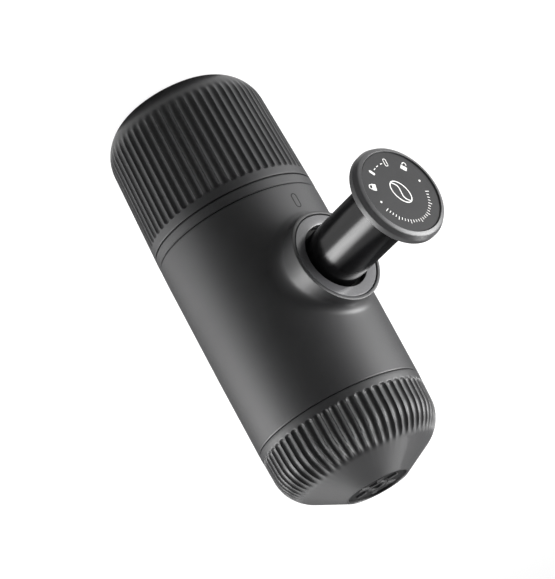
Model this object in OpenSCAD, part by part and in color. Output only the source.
// Handheld manual espresso maker: drinking cup below, pump body in the middle, water tank on top.
// Origin at the centre of the cup's base. +Z runs up the long axis, and the piston points along -Y.
// "Reach" below is the distance from the long axis along -Y, so a larger reach is further out.

/* [Pump body] */
// Outside radius of the pump body
body_r = 31; // [30.5:0.25:33]
// Length of the body shell between its two seams
shell_len = 76.05; // [75:0.5:84]
// Wall of the body shell
shell_wall = 2.5; // [2:0.25:2.5]
// Radius that the shell loses towards the ring
shell_lead = 0.1; // [0.05:0.05:0.2]
// Radius that the shell loses towards the tank seam
shell_taper = 0.25; // [0:0.05:0.4]
// Gap between the brew head's plate and the bore for the piston's guide
axis_gap = 0.15; // [0.1:0.05:1.5]

/* [Drinking cup] */
// Height of the cup
cup_len = 48.6; // [47:0.5:54]
// Distance of the cup's rim inside the ring above it
cup_step = 0.05; // [0:0.05:0.2]
// Radius that the cup's wall loses from the rim to the shoulder
cup_draft = 1.1; // [0.8:0.1:1.5]
// Radius of the rounded shoulder of the cup
cup_shoulder = 15; // [13:0.5:16]
// Distance from the rim's radius in to the edge of the flat base
cup_heel = 9.35; // [8.85:0.25:10.35]
// Wall of the cup
cup_wall = 2.4; // [2.2:0.1:2.6]
// Thickness of the cup's floor
cup_floor = 3; // [2.5:0.25:3.5]

/* [Water tank] */
// Length of the tank from its seam to its tip
tank_len = 27.9; // [27:0.5:32]
// Wall of the tank
tank_wall = 2.3; // [2.1:0.1:2.5]
// Radius of the rounded corner between the tank's wall and its cone
tank_corner = 14; // [12:0.5:15]
// Slope of the tank's cone from the long axis
cone_slope = 61; // [58:1:63]
// Radius of the flat tip
tip_r = 11.75; // [11:0.25:12.5]
// Width of the flat rim round the recess in the tip
tip_rim = 2.35; // [2:0.05:2.5]
// Depth of the recess in the tip
tip_recess = 0.8; // [0.6:0.1:1]
// Number of raised lugs in the tip's recess
tip_lugs = 6; // [4:1:8]

/* [Grip flutes] */
// Number of flutes round the cup and round the tank
flutes = 60; // [48:1:60]
// Radius of the cutter that leaves one flute
flute_r = 1.12; // [1:0.02:1.16]
// Depth of a flute
flute_depth = 0.92; // [0.7:0.05:1]
// Plain band left between the cup's rim and its flutes
cup_band = 3.7; // [3:0.1:5]
// Plain band left between the tank's seam and its flutes
tank_band = 3.1; // [2.5:0.1:4]
// Angle on the tank's rounded corner where its flutes' second pass rests
tank_flute_turn = 27; // [22:1:30]

/* [Outlet head] */
// Height of the visible ring between the cup and the body
ring_h = 3.45; // [3:0.25:5]
// Length of the threaded spigot above the ring
head_spigot = 8; // [7.5:0.25:9]
// Wall of the outlet head
head_wall = 1.9; // [1.7:0.1:2]
// Outside radius of the spout
spout_r = 5; // [4.5:0.25:6]
// Length of the spout
spout_len = 12; // [10:0.5:13]
// Bore of the spout
spout_bore = 1.8; // [1.4:0.1:2.2]

/* [Filter basket] */
// Space between the filter basket and the bore of the outlet head
basket_room = 3.4; // [3.2:0.1:3.9]
// Depth of the filter basket
basket_h = 19.5; // [18:0.5:20]
// Sheet thickness of the basket
basket_t = 0.6; // [0.4:0.1:0.8]
// Height of the group gasket
gasket_h = 2.3; // [2.1:0.1:2.6]

/* [Piston] */
// Outside radius of the sliding sleeve
sleeve_r = 11; // [10.5:0.25:11.5]
// Wall of the sleeve
sleeve_wall = 1.5; // [1.25:0.25:1.75]
// Travel of the piston from released to locked
stroke = 34.8; // [32:0.2:36]
// Radius of the knob
knob_r = 18.2; // [17.5:0.1:19]
// Thickness of the knob
knob_t = 4.2; // [3.8:0.2:5]
// Radius of the inset face of the knob
knob_face_r = 15.3; // [14:0.1:15.8]
// Radius of the plunger rod
rod_r = 4.3; // [4:0.1:4.5]
// Angle of one locking lug
lug_deg = 20; // [16:1:22]
// Number of locking lugs
lugs = 3; // [2:1:4]
// Turn of the knob from released to locked
lock_turn = 42; // [38:1:44]

/* [Boss] */
// Outside radius of the lip round the piston
lip_r = 17.7; // [17.2:0.1:18.2]
// Height of the lip above the body's surface
lip_out = 4.7; // [4.4:0.1:5.5]
// Radius of the fillet between the lip and the body
boss_fillet = 4.6; // [3.5:0.1:5]
// Wall of the lip
lip_wall = 1.1; // [1:0.05:1.3]
// Wall of the flat ring inside the lip
ring_wall = 4.1; // [3.8:0.1:4.3]

/* [Return spring] */
// Wire thickness of the return spring
wire = 1.2; // [1:0.1:1.3]
// Number of turns of the return spring
turns = 22; // [18:1:24]

/* [Clearances] */
// Gap of a running fit
run_gap = 0.05; // [0.03:0.01:0.08]
// Gap between pieces that seat on each other
seat_gap = 0.1; // [0.05:0.05:0.15]
// Gap between pieces that move past each other
free_gap = 0.3; // [0.25:0.05:0.35]

/* [Hidden] */
round_fn = 96;
small_fn = 32;
eps = 0.01;
// Distance that a cutter runs past a face
past = 1;

// Levels along the long axis
rim_z = cup_len;
shell_z = rim_z + ring_h;
seam_z = shell_z + shell_len;
tip_z = seam_z + tank_len;
edge = 0.35;

// Outside radii of the pieces that meet the shell
ring_r = body_r - shell_lead;
tank_r = body_r - shell_taper;
cup_rim_r = ring_r - cup_step;
cup_base_r = cup_rim_r - cup_heel;
cup_shoulder_in = cup_rim_r - cup_shoulder - cup_draft;

// Shell interior
shell_in = body_r - shell_wall;
ledge = 1.5;
ledge_t = 1.5;
insert_r = shell_in - 2 * seat_gap;
lead_len = 7;
taper_len = 29;
boss_root = 6;
boss_sink = 0.5;

// Brew head: a plate with a skirt that takes the outlet head
spigot_top = shell_z + head_spigot;
rim_t = 1.2;
gasket_z = spigot_top + rim_t + free_gap;
plate_z = gasket_z + gasket_h;
plate_t = 4;
plate_top = plate_z + plate_t;
skirt_wall = 2.1;
skirt_r = insert_r - skirt_wall;
spigot_r = skirt_r - free_gap;
head_in = spigot_r - head_wall;
basket_r = head_in - basket_room - basket_t;
screen_inset = 2.2;
screen_r = basket_r - screen_inset;
screen_t = 0.8;
screen_lift = 0.5;
screen_z = spigot_top + screen_lift;
boss_wall = 1.4;
screen_post_r = 3.4;
screen_bore = 7;
screen_blank_r = 3;
screen_screw_head = 2.6;
screen_screw_bite = 2.5;
skirt_lift = 1;
gasket_ease = 0.2;

// Tank plate: closes the top of the body and takes the tank's spigot
tank_plate_t = 4;
tank_plate_drop = 12.1;
tank_plate_z = seam_z - tank_plate_drop;
tank_plate_top = tank_plate_z + tank_plate_t;
tank_socket_drop = 0.6;
tank_socket_z = seam_z - tank_socket_drop;
tank_spigot_r = skirt_r - free_gap;
tank_gasket_t = 0.9;
tank_spigot_end = tank_plate_top + free_gap + tank_gasket_t + free_gap;
tank_shoulder = 2.2;
strainer_r = 4.5;
strainer_t = 1;
strainer_wall = 1.5;
well_depth = 2.4;
well_r = 1.5;
tank_drill_z = tank_plate_z + 2.6;
feed_over = 0.3;
air_x = -12;
air_stem_r = 1.5;
air_cap_r = 3.4;
air_foot_r = 2.1;
air_t = 1;
wall_taper = 2.2;
tuck = 0.005;
cone_tan = tan(cone_slope);
draft_tan = tan(wall_taper);
// Centre of the rounded corner that touches both the tank's wall and its cone
corner_z = (tip_z - tank_corner * sin(cone_slope) - (tank_r + tank_corner * cos(cone_slope)
    - tank_corner * cos(wall_taper) - tip_r
    + (seam_z - tank_corner * sin(wall_taper)) * draft_tan) / cone_tan) / (1 - draft_tan / cone_tan);
corner_x = tank_r - tank_corner * cos(wall_taper)
    - (corner_z + tank_corner * sin(wall_taper) - seam_z) * draft_tan;
corner = [corner_x, corner_z];
tip_ring_in = 2.6;
tip_ring_out = 3.6;
tip_lug_in = 4.6;
tip_lug_len = 3.6;
tip_lug_w = 1.8;
tip_low = 0.2;
cone_pass = 7;
cone_cutter_ease = 0.06;
tank_flute_first = -92;
cup_flute_first = -88;

// Pump, measured as reach from the long axis: its back end stands on the water pipe's place
lip_reach = body_r + lip_out;
pipe_r = 2.4;
pipe_set = 0.5;
duct_y = shell_in - pipe_set - pipe_r;
duct_in = 3.4;
floor_back = duct_in - duct_y;
floor_t = 2;
floor_front = floor_back + floor_t;
lug_gap = 0.4;
pressed_end = floor_front + lug_gap;
sleeve_end = pressed_end + stroke;
knob_gap = 0.4;
knob_back = lip_reach + knob_gap + stroke;
tube_r = sleeve_r + 2;
tube_wall = 2;
tube_out = tube_r + tube_wall;
lug_r = tube_r - lug_gap;
lug_t = 2.2;
lug_set = 0.25;
lug_root = 0.5;
bush_back = sleeve_end + lug_t + free_gap;
collar_lap = 5;
collar_back = sleeve_end + collar_lap;
collar_set = 0.2;
collar_ring_t = 2;
collar_front = lip_reach - collar_set - collar_ring_t;
bush_set = 4;
bush_front = collar_front - bush_set;
wiper_t = 1.6;
gate_t = 3;
gate_play = 0.6;
gate_front = pressed_end + lug_t + gate_play + gate_t;
notch_deg = 3;
stop_deg = 6;
stop_play = 1;
collar_r = lip_r - lip_wall - seat_gap;
ring_hole = collar_r - ring_wall;
axis_z = plate_top + collar_r + axis_gap;

barrel_bore = rod_r + free_gap;
barrel_wall = 1.6;
barrel_r = barrel_bore + barrel_wall;
barrel_sink = 2.2;
barrel_end = floor_back - barrel_sink;
rod_past = 0.4;
rod_tip = barrel_end + stroke - rod_past;
barrel_lap = 4;
barrel_front = rod_tip + barrel_lap;
flange_w = 1.6;
flange_t = 1.5;
barrel_seal_w = 1;
barrel_seal_set = 0.2;
barrel_seal_t = 0.4;
seal_t = 2;
seal_set = 1;
seal_depth = 0.8;

// Valve block, behind the pump's floor
block_r = 13;
block_screw_x = 9.5;
block_screw_head = 1.9;
block_screw_head_t = 1.2;
block_screw_seat = floor_back - barrel_sink;
block_hole_end = 0.2;
block_screw_end = 0.3;
block_back = -(insert_r - seat_gap);
duct_r = 1;
chamber_r = 1.7;
ball_r = 1.4;
ball_rise = 0.3;
pipe_bore = 0.9;
pipe_seat = 4;
pipe_sink = 2;
outlet_y = 9;
drill_up = 1.7;
drill_z = plate_z + drill_up;
drill_under = 0.5;
low_seat = 2;
arm_w = 7;
arm_t = 9;
arm_rise = 20;
arm_top = axis_z + arm_rise;
arm_low = plate_top + ledge_t + free_gap;
chamber_rise = 9;
chamber_top_z = axis_z + chamber_rise;
low_valve_drop = 2;
low_valve_z = axis_z - barrel_r - low_valve_drop;
valve_wire = 0.3;
valve_spring_r = 1.25;
upper_turns = 5;
lower_turns = 2;
drill_r = 0.7;
drill_past = 0.4;

// Posts that join the pump to the two plates
post_in = 9.3;
post_x = insert_r - post_in;
post_y = 9;
post_r = 3.5;
screw_r = 1.2;
screw_head_r = 2.2;
screw_head_t = 1.6;
screw_len = 9;
post_low = plate_top;
post_top = tank_plate_z;
web_t = 2;
web_h = 16;

// Piston knob
hub_len = 4.9;
hub_r = sleeve_r - sleeve_wall - seat_gap;
hub_back = knob_back - hub_len;
rod_flange_gap = 0.6;
rod_flange_r = hub_r - rod_flange_gap;
rod_flange_t = 3.3;
rod_front = hub_back - free_gap;
retainer_front = rod_front - rod_flange_t - free_gap;
retainer_t = 2.1;
knob_front = knob_back + knob_t;
knob_inset = 0.5;
plate_disc_t = 0.8;
knob_seat = knob_front - knob_inset - plate_disc_t;
knob_screw_len = 5;

// Cup and head below the ring
bell_gap = 1.1;
bell_r = basket_r + basket_t + bell_gap;
bell_flare = 1.5;
bell_drop = 6;
bell_top = rim_z - bell_drop;
basket_bottom = spigot_top - basket_h;
basket_lift = 1.6;
bell_floor = basket_bottom - basket_lift;
bell_floor_t = 2;
cup_inner = cup_rim_r - cup_wall;
cup_spigot_r = cup_inner - free_gap;
cup_socket = 8;
cup_centre_z = sqrt(pow(cup_shoulder, 2) - pow(cup_base_r - cup_shoulder_in, 2));
cup_lean = atan2(cup_draft, cup_len - cup_centre_z);
seal_drop = 3;
seal_z = rim_z - seal_drop;
seal_r = 0.9;
head_seal_low = 0.1;
head_seal_high = 0.9;
head_seal_depth = 1;
head_seal_ease = 0.05;
head_seal_proud = 0.15;
valve_r = 3.9;
valve_seat_gap = 0.1;
valve_low = 2.3;
valve_high = 0.8;
valve_slit = 0.6;
valve_floor = bell_floor - valve_low - valve_seat_gap;
funnel_t = 5;
funnel_step = 4;
spout_top = bell_floor - bell_floor_t - funnel_t;
spout_end = spout_top - spout_len;
cap_wall = 1.2;
cap_len = 9;

// Helpers ---------------------------------------------------------------------------------------

// Turns its children so that their +Z axis becomes the piston's outward direction.
module outward() {
    translate([0, 0, axis_z]) rotate([90, 0, 0]) children();
}

// A tube along +Z between two heights.
module tube(r_in, r_out, low, high, fn = round_fn) {
    translate([0, 0, low]) rotate_extrude($fn = fn)
        translate([r_in, 0]) square([r_out - r_in, high - low]);
}

// A rod along +Z between two heights.
module rod(r, low, high, fn = round_fn) {
    translate([0, 0, low]) cylinder(r = r, h = high - low, $fn = fn);
}

// Copies its children to the corners of a rectangle.
module at_posts() {
    for (sx = [-1, 1], sy = [-1, 1]) translate([sx * post_x, sy * post_y, 0]) children();
}

// Rings of small holes: ring k has 6 k holes.
module perforation(rings, pitch, r, low, high) {
    rod(r, low, high, small_fn);
    for (k = [1 : rings], i = [0 : 6 * k - 1])
        rotate(60 * i / k) translate([pitch * k, 0, 0]) rod(r, low, high, small_fn);
}

// Points of one ring of a coil's wire at turn t, for a coil along +Z.
function coil_ring(mean, radius, t, rise, sides) =
    let (a = 360 * t, lead = atan2(rise, 360 * mean * PI / 180))
    [for (i = [0 : sides - 1])
        let (b = 360 * i / sides, out = mean + radius * cos(b), up = radius * sin(b))
        [out * cos(a) + up * sin(lead) * sin(a),
         out * sin(a) - up * sin(lead) * cos(a),
         rise * t + up * cos(lead)]];

// An open coil of wire along +Z, as one unbroken tube.
module coil(mean, radius, height, count, steps = 8, sides = 6) {
    rise = (height - 2 * radius) / count;
    rings = count * steps;
    points = [for (k = [0 : rings]) each coil_ring(mean, radius, k / steps, rise, sides)];
    walls = [for (k = [0 : rings - 1], i = [0 : sides - 1])
        let (j = (i + 1) % sides, a = k * sides, b = a + sides)
        each [[a + i, b + j, b + i], [a + i, a + j, b + j]]];
    first = [for (i = [1 : sides - 2]) [0, i + 1, i]];
    last = [for (i = [1 : sides - 2]) [rings * sides, rings * sides + i, rings * sides + i + 1]];
    translate([0, 0, radius]) polyhedron(points, concat(walls, first, last));
}

// A cap screw along +Z. Its head lies below zero and has a hexagon socket.
module screw(r, head_r, head_t, length) {
    rod(r, 0, length, small_fn);
    difference() {
        rod(head_r, -head_t, 0, small_fn);
        rod(head_r / 2, -head_t - eps, -head_t / 2, 6);
    }
}

// Body shell ------------------------------------------------------------------------------------

// Reach of the body's surface at a sideways distance from the long axis.
function body_reach(x) = sqrt(body_r * body_r - x * x);

// One ring of the fillet between the lip and the body; t runs from 0 at the lip to 90 at the body.
function fillet_ring(t, sides) =
    [for (i = [0 : sides - 1])
        let (a = 360 * i / sides, r = lip_r + boss_fillet * (1 - cos(t)), x = r * sin(a))
        [x, r * cos(a), body_reach(x) + boss_fillet * (1 - sin(t))]];

// The fillet as a closed skirt; its last ring dips under the body's surface.
module boss_skirt(sides = 72, bands = 6, first_t = 14, last_t = 78, inside = 0.4) {
    core = lip_r - inside;
    top = [for (i = [0 : sides - 1]) let (a = 360 * i / sides, x = lip_r * sin(a))
        [core * sin(a), core * cos(a), body_reach(x) + boss_fillet]];
    mid = [for (k = [0 : bands])
        each fillet_ring(first_t + (last_t - first_t) * k / bands, sides)];
    sunk = [for (p = fillet_ring(last_t, sides)) [p[0] * 1.03, p[1] * 1.03, p[2] - 0.9]];
    under = [for (i = [0 : sides - 1]) let (a = 360 * i / sides, x = lip_r * sin(a))
        [core * sin(a), core * cos(a), body_reach(x) - 2]];
    rows = bands + 4;
    points = concat(top, mid, sunk, under);
    faces = [for (k = [0 : rows - 1], i = [0 : sides - 1])
        let (j = (i + 1) % sides, a = k * sides, b = ((k + 1) % rows) * sides)
        each [[a + i, b + j, a + j], [a + i, b + i, b + j]]];
    polyhedron(points, faces);
}

module shell_profile() {
    polygon([[shell_in, shell_z], [ring_r - edge, shell_z],
        [ring_r, shell_z + edge], [body_r, shell_z + lead_len],
        [body_r, seam_z - taper_len], [tank_r, seam_z - edge],
        [tank_r - edge, seam_z], [shell_in, seam_z]]);
}

module body_shell() {
    color("#4b4b4c") difference() {
        union() {
            rotate_extrude($fn = round_fn) shell_profile();
            tube(shell_in - ledge, shell_in + eps, plate_top, plate_top + ledge_t);
            tube(shell_in - ledge, shell_in + eps, tank_plate_z - ledge_t, tank_plate_z);
            outward() difference() {
                rod(lip_r, shell_in - boss_root, lip_reach);
                translate([0, -axis_z, 0]) rotate([-90, 0, 0]) rod(shell_in + boss_sink, 0, tip_z);
            }
            outward() boss_skirt();
        }
        outward() rod(collar_r + seat_gap, 0, lip_reach + past);
        translate([0, duct_y, 0]) {
            rod(pipe_r + seat_gap, plate_top - past, plate_top + ledge_t + past, small_fn);
            rod(pipe_r + seat_gap, tank_plate_z - ledge_t - past, tank_plate_z + past, small_fn);
        }
    }
}

// Pump ------------------------------------------------------------------------------------------

module pump_housing() {
    color("#2a2a2c") difference() {
        union() {
            outward() rod(tube_out, floor_back, collar_back);
            at_posts() rod(post_r, post_low, post_top, small_fn);
            for (sy = [-1, 1]) translate([-post_x, sy * post_y - web_t / 2, axis_z - web_h / 2])
                cube([2 * post_x, web_t, web_h]);
        }
        outward() {
            difference() {
                rod(tube_r, floor_front, gate_front - gate_t);
                turn_stops();
            }
            rod(tube_r, gate_front, collar_back + eps);
            rod(sleeve_r + free_gap, floor_front, collar_back);
            for (i = [0 : lugs - 1]) rotate(360 * i / lugs - lug_deg / 2 - notch_deg)
                translate([0, 0, gate_front - gate_t - past])
                    rotate_extrude(angle = lug_deg + 2 * notch_deg, $fn = round_fn)
                        square([lug_r + free_gap, gate_t + 2 * past]);
        }
        outward() rod(barrel_r + seat_gap, floor_back - past, floor_front + past, small_fn);
        outward() block_holes(floor_back - past, floor_front - block_hole_end);
        at_posts() rod(screw_r + seat_gap, post_low - eps, post_low + screw_len);
        at_posts() rod(screw_r + seat_gap, post_top - screw_len, post_top + eps);
    }
}

// Ribs behind the gate ring that stop the lugs when the knob has turned to its locked place.
module turn_stops() {
    for (i = [0 : lugs - 1])
        rotate(360 * i / lugs - lock_turn - lug_deg / 2 - stop_play - stop_deg)
            translate([0, 0, floor_front - past])
                rotate_extrude(angle = stop_deg, $fn = round_fn)
                    square([tube_r + past, gate_front - gate_t - floor_front + 2 * past]);
}

// The two screw holes of the valve block, along the piston's direction.
module block_holes(low, high) {
    for (sx = [-1, 1]) translate([sx * block_screw_x, 0, 0])
        rod(screw_r + seat_gap, low, high, small_fn);
}

module guide_collar() {
    color("#333335") outward() {
        tube(tube_r, collar_r, collar_back, collar_front);
    }
}

module guide_bush() {
    color("#1b1b1c") outward()
        tube(sleeve_r + run_gap, tube_r - run_gap, bush_back, bush_front);
}

module piston_wiper() {
    color("#141414") outward()
        tube(sleeve_r + run_gap, tube_r - run_gap, bush_front, bush_front + wiper_t);
}

module collar_ring() {
    color("#777778") outward() {
        tube(ring_hole, collar_r, collar_front, lip_reach - collar_set);
    }
}

module pump_barrel() {
    color("#b9bcc0") outward() {
        tube(barrel_bore, barrel_r, barrel_end, barrel_front);
        tube(barrel_r - eps, barrel_r + flange_w, floor_back - flange_t, floor_back);
    }
}

module barrel_seal() {
    color("#1a1a1a") outward()
        tube(barrel_r, barrel_r + barrel_seal_w, barrel_end + barrel_seal_set,
            barrel_end + barrel_seal_set + barrel_seal_t);
}

module valve_block() {
    color("#3a3a3d") difference() {
        intersection() {
            union() {
                outward() rod(block_r, block_back - past, floor_back);
                translate([-arm_w / 2, -floor_back, arm_low]) cube([arm_w, arm_t, arm_top - arm_low]);
            }
            rod(-block_back, arm_low - past, arm_top + past);
        }
        outward() {
            rod(barrel_r + barrel_seal_w, barrel_end - seal_t, floor_back + eps);
            rod(barrel_r + flange_w + seat_gap, floor_back - flange_t, floor_back + eps);
            block_holes(block_back - 2 * past, floor_back + eps);
            for (sx = [-1, 1]) translate([sx * block_screw_x, 0, 0])
                rod(block_screw_head + seat_gap, block_back - 2 * past, block_screw_seat, small_fn);
        }
        translate([0, duct_y, 0]) {
            rod(duct_r, arm_low - eps, arm_top + eps, small_fn);
            rod(chamber_r, chamber_top_z, arm_top + eps, small_fn);
            rod(chamber_r, arm_low - eps, low_valve_z, small_fn);
            rod(pipe_r + seat_gap, arm_top - pipe_seat, arm_top + eps, small_fn);
            rod(pipe_r + seat_gap, arm_low - eps, arm_low + low_seat, small_fn);
        }
    }
}

module valve_block_screws() {
    color("#9a9ca0") outward() for (sx = [-1, 1])
        translate([sx * block_screw_x, 0, block_screw_seat])
            screw(screw_r, block_screw_head, block_screw_head_t,
                floor_front - block_screw_seat - block_screw_end);
}

// Each check valve lets water flow down only: a spring below holds its ball up against its seat.
module check_valve_balls() {
    color("#d0d2d5") {
        translate([0, duct_y, arm_top - pipe_seat - ball_r]) sphere(r = ball_r, $fn = small_fn);
        translate([0, duct_y, low_valve_z - ball_r + ball_rise]) sphere(r = ball_r, $fn = small_fn);
    }
}

module check_valve_springs() {
    upper = [chamber_top_z, arm_top - pipe_seat - 2 * ball_r + ball_rise];
    lower = [arm_low + low_seat, low_valve_z - 2 * ball_r + 2 * ball_rise];
    color("#b0b3b7") {
        translate([0, duct_y, upper[0]])
            coil(valve_spring_r, valve_wire / 2, upper[1] - upper[0], upper_turns);
        translate([0, duct_y, lower[0]])
            coil(valve_spring_r, valve_wire / 2, lower[1] - lower[0], lower_turns);
    }
}

module feed_tube() {
    color("#c9ccd0") translate([0, duct_y, 0])
        tube(pipe_bore, pipe_r, arm_top - pipe_seat, tank_plate_z + pipe_sink, small_fn);
}

module delivery_tube() {
    color("#c9ccd0") translate([0, duct_y, 0])
        tube(pipe_bore, pipe_r, plate_top - pipe_sink, arm_low + low_seat, small_fn);
}

module return_spring() {
    low = floor_front;
    high = retainer_front - retainer_t;
    mean = (barrel_r + sleeve_r - sleeve_wall) / 2;
    color("#a8abb0") outward() translate([0, 0, low]) coil(mean, wire / 2, high - low, turns);
}

// Brew head and tank plate ----------------------------------------------------------------------

module brew_head() {
    color("#303033") difference() {
        union() {
            rod(insert_r, plate_z, plate_top);
            tube(skirt_r, insert_r, shell_z + skirt_lift, plate_z + eps);
            tube(screen_r - boss_wall, screen_r, screen_z + screen_t, plate_z + eps);
            rod(screen_post_r, screen_z + screen_t, plate_z + eps, small_fn);
        }
        at_posts() rod(screw_r + seat_gap, plate_z - past, plate_top + past, small_fn);
        at_posts() rod(screw_head_r + seat_gap, plate_z - past, plate_z + screw_head_t, small_fn);
        rod(screw_r + seat_gap, screen_z, screen_z + screen_bore, small_fn);
        translate([0, duct_y, 0]) {
            rod(pipe_r + seat_gap, plate_top - pipe_sink, plate_top + past, small_fn);
            rod(duct_r, drill_z - drill_under, plate_top, small_fn);
        }
        translate([0, duct_y + drill_past, drill_z]) rotate([90, 0, 0])
            rod(drill_r, 0, duct_y + drill_past - outlet_y + duct_r, small_fn);
        translate([0, outlet_y, 0])
            rod(duct_r, plate_z - past, plate_top - pipe_sink, small_fn);
    }
}

module brew_head_screws() {
    color("#9a9ca0") at_posts() translate([0, 0, plate_z + screw_head_t])
        screw(screw_r, screw_head_r, screw_head_t, plate_t - screw_head_t + screw_len - past);
}

module group_gasket() {
    color("#8a2f22") tube(screen_r + 2 * gasket_ease, spigot_r - gasket_ease, gasket_z, plate_z);
}

module shower_screen() {
    color("#b7babd") difference() {
        rod(screen_r, screen_z, screen_z + screen_t);
        difference() {
            perforation(4, 3.8, 0.6, screen_z - past, screen_z + screen_t + past);
            rod(screen_blank_r, screen_z - 2 * past, screen_z + 2 * past, small_fn);
        }
        rod(screw_r + seat_gap, screen_z - past, screen_z + screen_t + past, small_fn);
    }
}

module screen_screw() {
    color("#9a9ca0") translate([0, 0, screen_z])
        screw(screw_r, screen_screw_head, block_screw_head_t, plate_z - screen_z + screen_screw_bite);
}

module tank_plate() {
    color("#303033") difference() {
        union() {
            rod(insert_r, tank_plate_z, tank_plate_top);
            tube(skirt_r, insert_r, tank_plate_top - eps, tank_socket_z);
            rod(strainer_r + strainer_wall, tank_plate_top - eps, tank_plate_top + strainer_wall, small_fn);
        }
        at_posts() rod(screw_r + seat_gap, tank_plate_z - past, tank_plate_top + past, small_fn);
        at_posts() rod(screw_head_r + seat_gap, tank_plate_top - screw_head_t,
            tank_plate_top + past, small_fn);
        translate([0, duct_y, 0]) {
            rod(pipe_r + seat_gap, tank_plate_z - past, tank_plate_z + pipe_sink, small_fn);
            rod(pipe_bore, tank_plate_z + past, tank_drill_z + feed_over, small_fn);
        }
        translate([0, duct_y + drill_past, tank_drill_z]) rotate([90, 0, 0])
            rod(drill_r, 0, duct_y + drill_past, small_fn);
        rod(strainer_r + seat_gap, tank_plate_top, tank_plate_top + 2 * past, small_fn);
        rod(well_r, tank_plate_z + well_depth, tank_plate_top + past, small_fn);
        translate([air_x, 0, 0])
            rod(air_stem_r + seat_gap, tank_plate_z - past, tank_plate_top + past, small_fn);
    }
}

module tank_plate_screws() {
    color("#9a9ca0") at_posts() translate([0, 0, tank_plate_top - screw_head_t])
        rotate([180, 0, 0])
            screw(screw_r, screw_head_r, screw_head_t, plate_t - screw_head_t + screw_len - past);
}

module inlet_strainer() {
    color("#b7babd") difference() {
        rod(strainer_r, tank_plate_top, tank_plate_top + strainer_t, small_fn);
        perforation(2, 1.6, 0.5, tank_plate_top - past, tank_plate_top + strainer_t + past);
    }
}

// An umbrella valve that lets air in as the water leaves.
module air_valve() {
    color("#c8c8c6") translate([air_x, 0, 0]) {
        rod(air_stem_r, tank_plate_z - air_t, tank_plate_top + eps, small_fn);
        rod(air_cap_r, tank_plate_top, tank_plate_top + air_t, small_fn);
        rod(air_foot_r, tank_plate_z - air_t, tank_plate_z, small_fn);
    }
}

module tank_gasket() {
    color("#8a2f22")
        tube(tank_spigot_r - tank_wall + gasket_ease, tank_spigot_r,
            tank_plate_top + free_gap, tank_plate_top + free_gap + tank_gasket_t);
}

// Water tank ------------------------------------------------------------------------------------

// The tank's outline: a wall, a rounded corner and a cone up to a flat tip. shrink moves it inwards.
module tank_outline(shrink = 0) {
    r = tank_corner - shrink;
    feet = [for (a = [wall_taper, cone_slope]) corner + (r - tuck) * [cos(a), sin(a)]];
    wall_low = feet[0][0] + (feet[0][1] - seam_z) * tan(wall_taper);
    top = tip_z - shrink;
    tip_edge = feet[1][0] - (top - feet[1][1]) * tan(cone_slope);
    intersection() {
        translate([0, seam_z]) square([body_r * 2, top - seam_z]);
        union() {
            translate(corner) circle(r = r, $fn = round_fn);
            polygon([[0, seam_z], [wall_low, seam_z], feet[0], corner, feet[1], [tip_edge, top], [0, top]]);
        }
    }
}

// One straight pass of the flute cutter, resting on the corner's arc at an angle.
module flute_pass(angle, radius, below, above) {
    reach = tank_corner - flute_depth + radius;
    translate([corner[0] + reach * cos(angle), 0, corner[1] + reach * sin(angle)])
        rotate([0, -angle, 0]) translate([0, 0, -below]) {
            cylinder(r = radius, h = below + above, $fn = small_fn);
            if (angle == wall_taper) sphere(r = radius, $fn = small_fn);
        }
}

// A flute runs up the tank's wall and follows its rounded corner in a second pass.
module tank_flute() {
    flute_pass(wall_taper, flute_r, corner[1] - seam_z - tank_band, cone_pass);
    flute_pass(tank_flute_turn, flute_r - cone_cutter_ease, cone_pass, cone_pass);
}

module water_tank() {
    color("#4b4b4c") difference() {
        union() {
            rotate_extrude($fn = round_fn) tank_outline();
            tube(tank_spigot_r - tank_wall, tank_spigot_r, tank_spigot_end,
                seam_z + tank_shoulder + eps);
        }
        rotate_extrude($fn = round_fn) tank_hollow();
        for (i = [0 : flutes - 1]) rotate(360 * i / flutes + tank_flute_first) tank_flute();
        difference() {
            rod(tip_r - tip_rim, tip_z - tip_recess, tip_z + past);
            tube(tip_ring_in, tip_ring_out, tip_z - tip_recess - past, tip_z - tip_low);
            for (i = [0 : tip_lugs - 1]) rotate(360 * i / tip_lugs)
                translate([tip_lug_in, -tip_lug_w / 2, tip_z - tip_recess - past])
                    cube([tip_lug_len, tip_lug_w, tip_recess + past - tip_low]);
        }
    }
}

// The water space: wide behind the wall, narrow through the neck and its spigot.
module tank_hollow() {
    union() {
        intersection() {
            tank_outline(tank_wall);
            translate([0, seam_z + tank_shoulder]) square([body_r, tank_len]);
        }
        translate([0, tank_spigot_end - past])
            square([tank_spigot_r - tank_wall,
                seam_z + tank_shoulder + eps - tank_spigot_end + past]);
    }
}

// Piston ----------------------------------------------------------------------------------------

module plunger_rod() {
    color("#c2c5c9") outward() difference() {
        union() {
            rod(rod_r, rod_tip, rod_front - rod_flange_t + eps);
            rod(rod_flange_r, rod_front - rod_flange_t, rod_front);
        }
        tube(rod_r - seal_depth, rod_r + past, rod_tip + seal_set, rod_tip + seal_set + seal_t);
    }
}

module plunger_seal() {
    color("#161616") outward()
        tube(rod_r - seal_depth + run_gap, barrel_bore - run_gap / 2, rod_tip + seal_set,
            rod_tip + seal_set + seal_t);
}

module piston_sleeve() {
    color("#161617") outward() {
        tube(sleeve_r - sleeve_wall, sleeve_r, sleeve_end, knob_back);
        for (i = [0 : lugs - 1]) rotate(360 * i / lugs - lug_deg / 2)
            translate([0, 0, sleeve_end + lug_set]) rotate_extrude(angle = lug_deg, $fn = round_fn)
                translate([sleeve_r - lug_root, 0])
                    square([lug_r - sleeve_r + lug_root, lug_t - lug_set]);
    }
}

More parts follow.
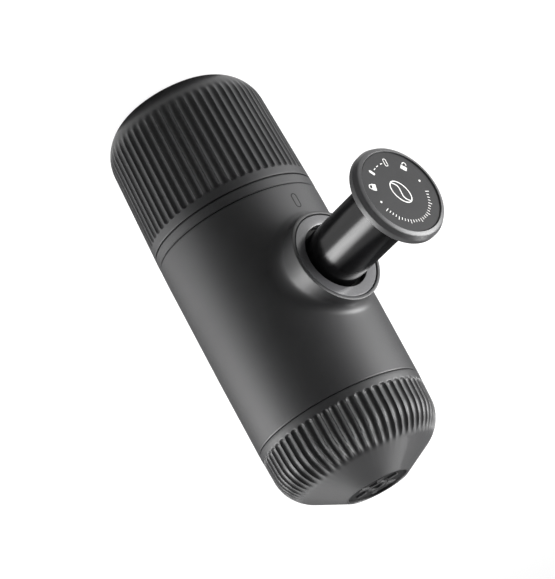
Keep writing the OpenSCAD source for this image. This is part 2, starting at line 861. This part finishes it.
module rod_retainer() {
    color("#2a2a2c") outward()
        tube(rod_r + free_gap, sleeve_r - sleeve_wall - seat_gap / 2,
            retainer_front - retainer_t, retainer_front);
}

module knob_profile() {
    bulge = knob_t / 2;
    difference() {
        union() {
            translate([0, knob_back]) square([knob_r - bulge, knob_t]);
            translate([knob_r - bulge, knob_back + bulge]) circle(r = bulge, $fn = small_fn);
        }
        translate([-past, knob_seat]) square([knob_face_r + seat_gap + past, 2 * past]);
        translate([-past - knob_r, 0]) square([knob_r + past, knob_front + past]);
    }
}

module piston_knob() {
    color("#4a4a4b") outward() difference() {
        union() {
            rotate_extrude($fn = round_fn) knob_profile();
            tube(screw_r + seat_gap, hub_r, hub_back, knob_back + eps);
        }
        rod(screw_r + seat_gap, hub_back - past, knob_front, small_fn);
        rod(screw_head_r + seat_gap, knob_seat - screw_head_t, knob_front, small_fn);
    }
}

module knob_plate() {
    color("#474748") outward()
        rod(knob_face_r, knob_seat, knob_seat + plate_disc_t);
}

module knob_screw() {
    color("#9a9ca0") outward()
        translate([0, 0, knob_seat - screw_head_t])
            rotate([180, 0, 0]) screw(screw_r, screw_head_r, screw_head_t, knob_screw_len);
}

// Outlet head, basket and cup -------------------------------------------------------------------

module filter_basket() {
    color("#bfc2c5") difference() {
        union() {
            rod(basket_r + basket_t, basket_bottom, spigot_top + rim_t);
            tube(basket_r, spigot_r, spigot_top, spigot_top + rim_t);
        }
        rod(basket_r, basket_bottom + basket_t, spigot_top + rim_t + past);
        perforation(3, 4.8, 0.8, basket_bottom - past, basket_bottom + 2 * past);
    }
}

module outlet_head() {
    cone_top = bell_floor - bell_floor_t;
    color("#474748") difference() {
        union() {
            rotate_extrude($fn = round_fn) polygon([
                [0, cone_top], [bell_r, cone_top], [bell_r + bell_flare, bell_top],
                [cup_spigot_r, bell_top + 1], [cup_spigot_r, rim_z], [ring_r - edge, rim_z],
                [ring_r, rim_z + edge], [ring_r, shell_z - edge], [ring_r - edge, shell_z],
                [spigot_r, shell_z], [spigot_r, spigot_top], [0, spigot_top]]);
            rotate_extrude($fn = round_fn) polygon([[0, spout_top], [spout_r, spout_top],
                [bell_r - funnel_step, cone_top + eps], [0, cone_top + eps]]);
            rod(spout_r, spout_end, spout_top + eps);
        }
        rod(bell_r, bell_floor, spigot_top + past);
        rod(head_in, shell_z, spigot_top + past);
        rotate_extrude($fn = small_fn) polygon([[0, spout_top - past],
            [spout_bore, spout_top - past], [valve_r + valve_seat_gap, valve_floor],
            [valve_r + valve_seat_gap, bell_floor + past], [0, bell_floor + past]]);
        rod(spout_bore, spout_end - past, spout_top, small_fn);
        tube(cup_inner - run_gap - 2 * seal_r - seat_gap, cup_spigot_r + past,
            seal_z - seal_r - seat_gap, seal_z + seal_r + seat_gap);
        tube(spigot_r - head_seal_depth, spigot_r + past, shell_z + head_seal_low,
            shell_z + head_seal_high);
    }
}

module crema_valve() {
    color("#c8c8c6") difference() {
        rod(valve_r, bell_floor - valve_low, bell_floor + valve_high, small_fn);
        rod(valve_slit, bell_floor - valve_low - past, bell_floor + past, small_fn);
    }
}

module head_seal() {
    color("#8a2f22") tube(spigot_r - head_seal_depth + head_seal_ease,
        spigot_r + head_seal_proud, shell_z + head_seal_low + head_seal_ease,
        shell_z + head_seal_high - head_seal_ease);
}

module cup_seal() {
    color("#8a2f22") rotate_extrude($fn = round_fn)
        translate([cup_inner - run_gap - seal_r, seal_z]) circle(r = seal_r, $fn = small_fn);
}

module nozzle_cap() {
    color("#3a3a3b") difference() {
        rod(spout_r + run_gap + cap_wall, spout_end - cap_wall, spout_end + cap_len, 64);
        rod(spout_r + run_gap, spout_end, spout_end + cap_len + past, 64);
    }
}

module cup_profile(shrink = 0) {
    r = cup_shoulder - shrink;
    base = shrink == 0 ? 0 : cup_floor;
    rim = cup_rim_r - shrink;
    bevel = shrink == 0 ? edge : 0;
    foot = [cup_shoulder_in + (r - tuck) * cos(cup_lean), cup_centre_z - (r - tuck) * sin(cup_lean)];
    intersection() {
        translate([0, base]) square([body_r * 2, cup_len]);
        union() {
            translate([cup_shoulder_in, cup_centre_z]) circle(r = r, $fn = round_fn);
            polygon([[0, base], [cup_shoulder_in, base], [cup_shoulder_in, cup_centre_z], foot,
                [rim, cup_len - bevel], [rim - bevel, cup_len], [0, cup_len]]);
        }
    }
}

module drinking_cup() {
    axis_r = cup_rim_r - flute_depth + flute_r;
    top = cup_len - cup_band - flute_r;
    color("#4b4b4c") difference() {
        rotate_extrude($fn = round_fn) cup_profile();
        rotate_extrude($fn = round_fn) cup_profile(cup_wall);
        rod(cup_inner, cup_len - cup_socket, cup_len + past);
        for (i = [0 : flutes - 1]) rotate(360 * i / flutes + cup_flute_first) {
            translate([axis_r, 0, cup_len]) rotate([0, 180 + cup_lean, 0])
                translate([0, 0, cup_len - top]) {
                    cylinder(r = flute_r, h = top, $fn = small_fn);
                    sphere(r = flute_r, $fn = small_fn);
                }
        }
    }
}

body_shell();
pump_housing();
guide_collar();
guide_bush();
piston_wiper();
collar_ring();
pump_barrel();
barrel_seal();
valve_block();
valve_block_screws();
check_valve_balls();
check_valve_springs();
feed_tube();
delivery_tube();
brew_head();
brew_head_screws();
group_gasket();
shower_screen();
screen_screw();
tank_plate();
tank_plate_screws();
inlet_strainer();
air_valve();
tank_gasket();
water_tank();
plunger_rod();
plunger_seal();
return_spring();
piston_sleeve();
rod_retainer();
piston_knob();
knob_plate();
knob_screw();
filter_basket();
outlet_head();
head_seal();
crema_valve();
cup_seal();
nozzle_cap();
drinking_cup();
